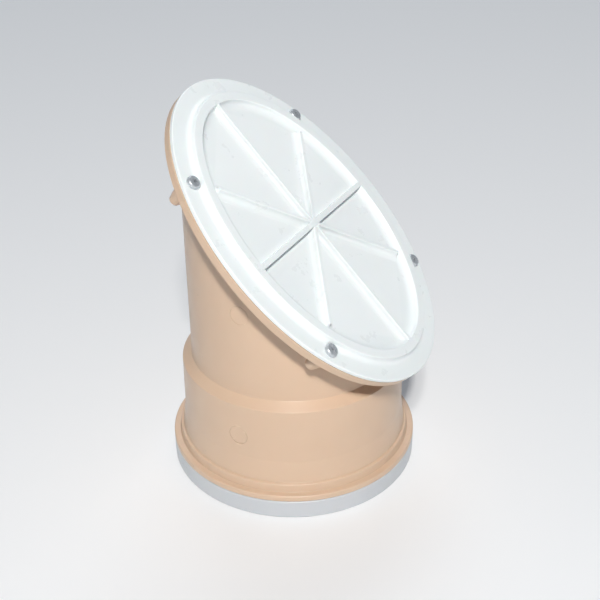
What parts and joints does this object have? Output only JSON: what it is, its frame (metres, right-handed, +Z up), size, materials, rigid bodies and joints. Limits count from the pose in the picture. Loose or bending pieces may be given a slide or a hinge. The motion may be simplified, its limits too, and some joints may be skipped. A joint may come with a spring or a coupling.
{
  "type": "cowl vent",
  "caption": "Rotating deck cowl vent: deck ring with spigot and insect screen, stepped tube cut at 45 degrees, oval ribbed cover screwed over its slanted mouth.",
  "frame": {"origin": "on the cowl's turning axis, at the underside of the deck ring, where it meets the deck", "axes": "+Z up along the turning axis; -Y is the way the slanted mouth faces at rest; +X to the right for someone looking along +Y"},
  "size_m": [0.136, 0.1417, 0.1994],
  "materials": {
    "white_plastic": "satin",
    "base_white_plastic": "satin",
    "cream_plastic": "satin",
    "acetal": "satin",
    "black_rubber": "matt",
    "zinc_plated_steel": "zinc plated, satin",
    "stainless_steel": "plain"
  },
  "bodies": {
    "base": {"deck_ring": "base_white_plastic", "deck_gasket": "black_rubber", "glide_ring": "acetal", "spigot_seal": "black_rubber", "screen_frame": "white_plastic", "insect_screen": "stainless_steel", "screen_clip_ring": "stainless_steel"},
    "cowl": {"cowl_body": "cream_plastic", "retaining_pin_1": "cream_plastic", "retaining_pin_2": "cream_plastic", "cover_gasket": "black_rubber"},
    "cover": {"cover_plate": "white_plastic", "cover_screw_1": "zinc_plated_steel", "cover_screw_2": "zinc_plated_steel", "cover_screw_3": "zinc_plated_steel", "cover_screw_4": "zinc_plated_steel"}
  },
  "joints": [
    {"name": "cowl_turn", "type": "hinge", "parent": "base", "child": "cowl", "pos_m": [0, 0, 0.042], "axis": [0, 0, 1], "continuous": true},
    {"name": "cover_lift", "type": "slide", "parent": "cowl", "child": "cover", "axis": [0, -0.7071, 0.7071], "range_m": [0, 0.06]}
  ]
}
